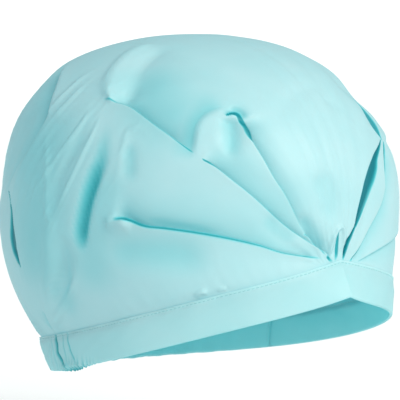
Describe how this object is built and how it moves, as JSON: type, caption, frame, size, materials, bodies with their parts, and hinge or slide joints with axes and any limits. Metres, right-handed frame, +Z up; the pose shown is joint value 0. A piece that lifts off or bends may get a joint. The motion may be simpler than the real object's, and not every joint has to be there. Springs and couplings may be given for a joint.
{
  "type": "shower cap",
  "caption": "Turban-style shower cap of coated cloth, gathered over the brow into a folded band and at the nape into an elastic casing.",
  "frame": {"origin": "middle of the head ring, the cap's lower edge, where it sits on the head", "axes": "+Z up as worn, the front with its crease and gathers faces -Y, the wearer's right is -X; +Y is the cap's length towards the nape"},
  "size_m": [0.214, 0.2625, 0.1981],
  "materials": {
    "crown_cloth": "smooth coated cloth with a soft satin sheen",
    "band_cloth": "smooth coated cloth, folded and top-stitched",
    "casing_cloth": "smooth coated cloth, gathered on elastic"
  },
  "bodies": {
    "root": {"crown": "crown_cloth", "front_band": "band_cloth", "elastic_casing": "casing_cloth"}
  },
  "joints": []
}
